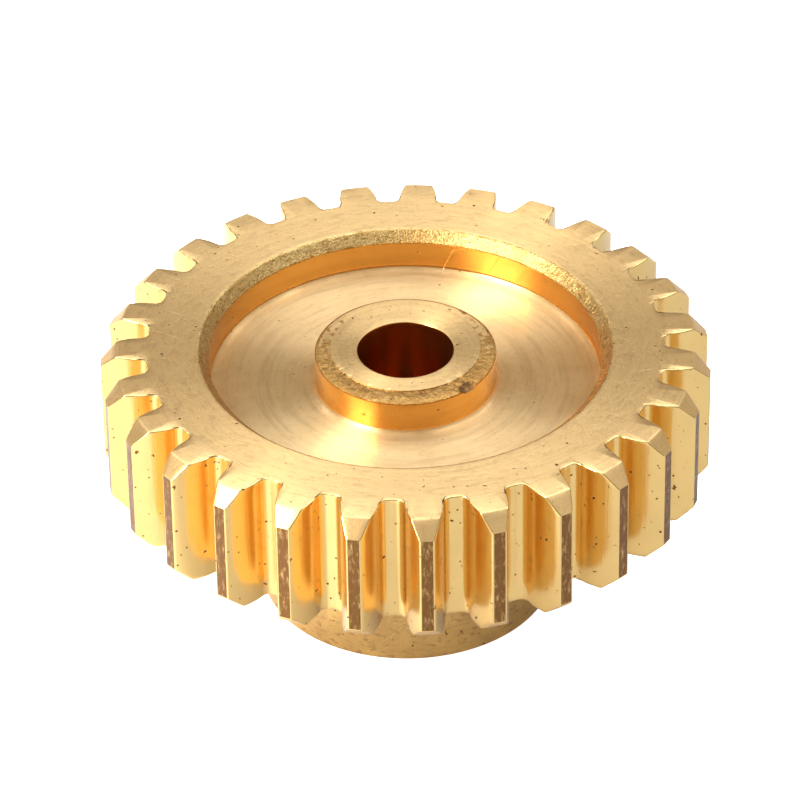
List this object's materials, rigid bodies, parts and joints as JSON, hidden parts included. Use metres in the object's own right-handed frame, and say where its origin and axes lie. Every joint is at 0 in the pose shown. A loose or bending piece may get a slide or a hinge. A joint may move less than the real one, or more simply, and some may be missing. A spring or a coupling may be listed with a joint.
{
  "type": "spur gear pinion",
  "caption": "Brass spur gear with a recessed face, a centre boss, a plain bore and a clamping hub with a radial grub screw.",
  "frame": {"origin": "on the bore's axis in the plane of the hub's end face", "axes": "+Z along the bore from the hub to the toothed rim, +X through the middle of a tooth space, +Y along the grub screw, outwards"},
  "size_m": [0.0202, 0.0202, 0.0094],
  "materials": {
    "brass": "as turned and hobbed, semi-gloss",
    "screw_steel": "black oxide, oiled"
  },
  "bodies": {
    "gear": {"gear": "brass"},
    "grub_screw": {"grub_screw": "screw_steel"}
  },
  "joints": [
    {"name": "grub_screw_travel", "type": "slide", "parent": "gear", "child": "grub_screw", "axis": [0, 1, 0], "range_m": [-0.0005, 0.0025]}
  ]
}
